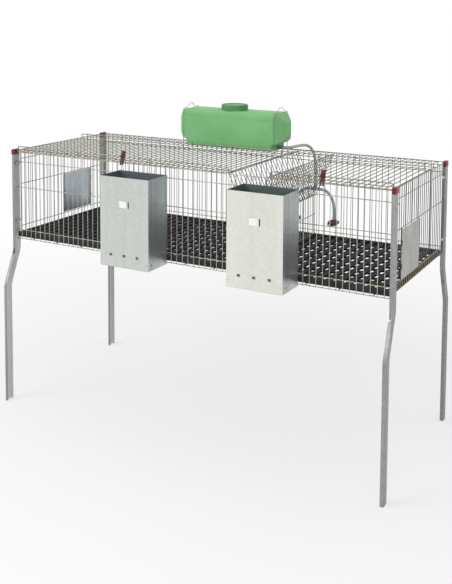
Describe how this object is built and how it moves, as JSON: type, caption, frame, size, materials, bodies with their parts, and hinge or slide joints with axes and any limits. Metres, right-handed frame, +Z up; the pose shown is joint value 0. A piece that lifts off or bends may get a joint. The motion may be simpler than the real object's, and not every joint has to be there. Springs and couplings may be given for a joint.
{
  "type": "rabbit cage",
  "caption": "Welded wire rabbit cage on bent channel legs, with lids, hay rack, slotted floor, hung sheet feeders, nest doors and a roof tank with hose and nipple drinkers",
  "frame": {"origin": "on the ground, under the middle of the box that holds the whole cage", "axes": "X along the cage, Y from the feeders towards the rear, Z up"},
  "size_m": [1.502, 0.7656, 1.1349],
  "materials": {
    "galvanised_wire": "welded galvanised wire, dull zinc grey",
    "leg_steel": "galvanised sheet, semi-matt grey",
    "feeder_sheet": "bright galvanised sheet with a faint spangle",
    "door_sheet": "plain pale grey sheet",
    "crimson_plastic": "moulded, slightly glossy",
    "latch_plastic": "moulded, brownish red",
    "green_plastic": "blow-moulded, satin",
    "cap_plastic": "moulded, darker green, ribbed rim",
    "seal_rubber": "soft, matt",
    "mat_plastic": "moulded, near black",
    "hose_plastic": "soft grey tube",
    "nipple_steel": "turned stainless pin",
    "tag_plastic": "blank pale tag"
  },
  "bodies": {
    "frame": {"door_pin_left": "galvanised_wire", "door_pin_right": "galvanised_wire", "drinker_left": "crimson_plastic", "drinker_nozzle_left": "crimson_plastic", "drinker_nozzle_right": "crimson_plastic", "drinker_right": "crimson_plastic", "floor_mat_left": "mat_plastic", "floor_mat_middle": "mat_plastic", "floor_mat_right": "mat_plastic", "floor_support": "galvanised_wire", "front_panel": "galvanised_wire", "hinge_rod": "galvanised_wire", "hose_left": "hose_plastic", "hose_main": "hose_plastic", "hose_right": "hose_plastic", "hose_tee": "hose_plastic", "leg_cap_front_left": "crimson_plastic", "leg_cap_front_right": "crimson_plastic", "leg_cap_rear_left": "crimson_plastic", "leg_cap_rear_right": "crimson_plastic", "leg_front_left": "leg_steel", "leg_front_right": "leg_steel", "leg_rear_left": "leg_steel", "leg_rear_right": "leg_steel", "panel_clips": "galvanised_wire", "partition": "galvanised_wire", "rack_net_left": "galvanised_wire", "rack_net_right": "galvanised_wire", "rear_panel": "galvanised_wire", "roof_strip": "galvanised_wire", "side_panel_left": "galvanised_wire", "side_panel_right": "galvanised_wire", "tank_body": "green_plastic", "tank_outlet": "cap_plastic", "tank_straps": "galvanised_wire"},
    "lid_left": {"lid_net_left": "galvanised_wire", "lid_rail_left": "galvanised_wire"},
    "lid_right": {"lid_net_right": "galvanised_wire", "lid_rail_right": "galvanised_wire"},
    "latch_left": {"latch_left": "latch_plastic"},
    "latch_right": {"latch_right": "latch_plastic"},
    "door_left": {"door_left": "door_sheet"},
    "door_right": {"door_right": "door_sheet"},
    "feeder_left": {"feeder_left_baffle": "feeder_sheet", "feeder_left_hooks": "feeder_sheet", "feeder_left_hopper": "feeder_sheet", "feeder_left_pan": "feeder_sheet", "feeder_left_rivets": "feeder_sheet", "feeder_left_tag": "tag_plastic"},
    "feeder_right": {"feeder_right_baffle": "feeder_sheet", "feeder_right_hooks": "feeder_sheet", "feeder_right_hopper": "feeder_sheet", "feeder_right_pan": "feeder_sheet", "feeder_right_rivets": "feeder_sheet", "feeder_right_tag": "tag_plastic"},
    "tank_cap": {"tank_cap": "cap_plastic", "tank_cap_seal": "seal_rubber"},
    "nipple_left": {"nipple_left": "nipple_steel"},
    "nipple_right": {"nipple_right": "nipple_steel"}
  },
  "joints": [
    {"name": "lid_left_hinge", "type": "hinge", "parent": "frame", "child": "lid_left", "pos_m": [-0.28, 0.16175, 0.978], "axis": [-1, 0, 0], "range_deg": [0, 100]},
    {"name": "lid_right_hinge", "type": "hinge", "parent": "frame", "child": "lid_right", "pos_m": [0.532, 0.16175, 0.978], "axis": [-1, 0, 0], "range_deg": [0, 100]},
    {"name": "latch_left_pivot", "type": "hinge", "parent": "lid_left", "child": "latch_left", "pos_m": [-0.24976, -0.25125, 0.978], "axis": [-1, 0, 0], "range_deg": [0, 60]},
    {"name": "latch_right_pivot", "type": "hinge", "parent": "lid_right", "child": "latch_right", "pos_m": [0.5096, -0.25125, 0.978], "axis": [-1, 0, 0], "range_deg": [0, 60]},
    {"name": "door_left_hinge", "type": "hinge", "parent": "frame", "child": "door_left", "pos_m": [-0.74695, 0.22515, 0.746], "axis": [0, 0, -1], "range_deg": [0, 105]},
    {"name": "door_right_hinge", "type": "hinge", "parent": "frame", "child": "door_right", "pos_m": [0.74695, -0.19005, 0.746], "axis": [0, 0, -1], "range_deg": [0, 105]},
    {"name": "feeder_left_lift", "type": "slide", "parent": "frame", "child": "feeder_left", "axis": [0, 0, 1], "range_m": [0, 0.015]},
    {"name": "feeder_right_lift", "type": "slide", "parent": "frame", "child": "feeder_right", "axis": [0, 0, 1], "range_m": [0, 0.015]},
    {"name": "tank_cap_turn", "type": "hinge", "parent": "frame", "child": "tank_cap", "pos_m": [-0.05824, 0.23975, 1.12], "axis": [0, 0, 1], "range_deg": [0, 450]},
    {"name": "nipple_left_push", "type": "slide", "parent": "frame", "child": "nipple_left", "axis": [0, 1, 0], "range_m": [0, 0.002], "stiffness_N_per_m": 150, "springref_m": -0.002},
    {"name": "nipple_right_push", "type": "slide", "parent": "frame", "child": "nipple_right", "axis": [0, 1, 0], "range_m": [0, 0.002], "stiffness_N_per_m": 150, "springref_m": -0.002}
  ]
}
